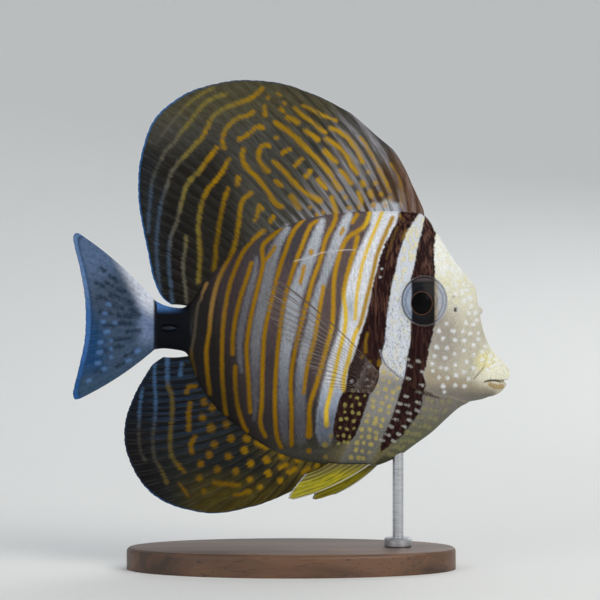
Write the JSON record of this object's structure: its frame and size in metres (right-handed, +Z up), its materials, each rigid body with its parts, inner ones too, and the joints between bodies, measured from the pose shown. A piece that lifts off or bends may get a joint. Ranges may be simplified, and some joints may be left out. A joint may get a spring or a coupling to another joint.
{
  "type": "red sea sailfin tang display model",
  "caption": "Life-size sailfin tang with raised sail fins, separate head, torso, tail and fins, held level on a rod over an oval base.",
  "frame": {"origin": "centre of the bounding box's underside, on the floor under the middle of the fish", "axes": "+X towards the snout, +Y towards the fish's left side, +Z up"},
  "size_m": [0.1598, 0.066, 0.1783],
  "materials": {
    "head_skin": "moist satin skin, pale beige with small white dots",
    "flank_skin": "moist satin skin of fine scales, silver and brown bands with yellow lines",
    "stalk_skin": "moist satin skin, navy black",
    "sail_fin": "satin membrane over rays, dark olive brown with yellow lines and dots",
    "tail_fin": "satin membrane over rays, pale grey blue",
    "clear_fin": "clear thin membrane over fine rays",
    "pelvic_fin": "satin membrane over rays, olive yellow",
    "eye": "clear wet cornea over a banded iris",
    "spine": "smooth bone",
    "stand_base": "dark satin lacquered wood",
    "stand_rod": "fine brushed steel"
  },
  "bodies": {
    "root": {"head": "head_skin", "torso": "flank_skin", "tail_stalk": "stalk_skin", "dorsal_fin": "sail_fin", "anal_fin": "sail_fin", "caudal_fin": "tail_fin", "pectoral_fin_right": "clear_fin", "pectoral_fin_left": "clear_fin", "pelvic_fin_right": "pelvic_fin", "pelvic_fin_left": "pelvic_fin", "eye_right": "eye", "eye_left": "eye", "tail_spine_right": "spine", "tail_spine_left": "spine", "stand_base": "stand_base", "stand_rod": "stand_rod"}
  },
  "joints": []
}
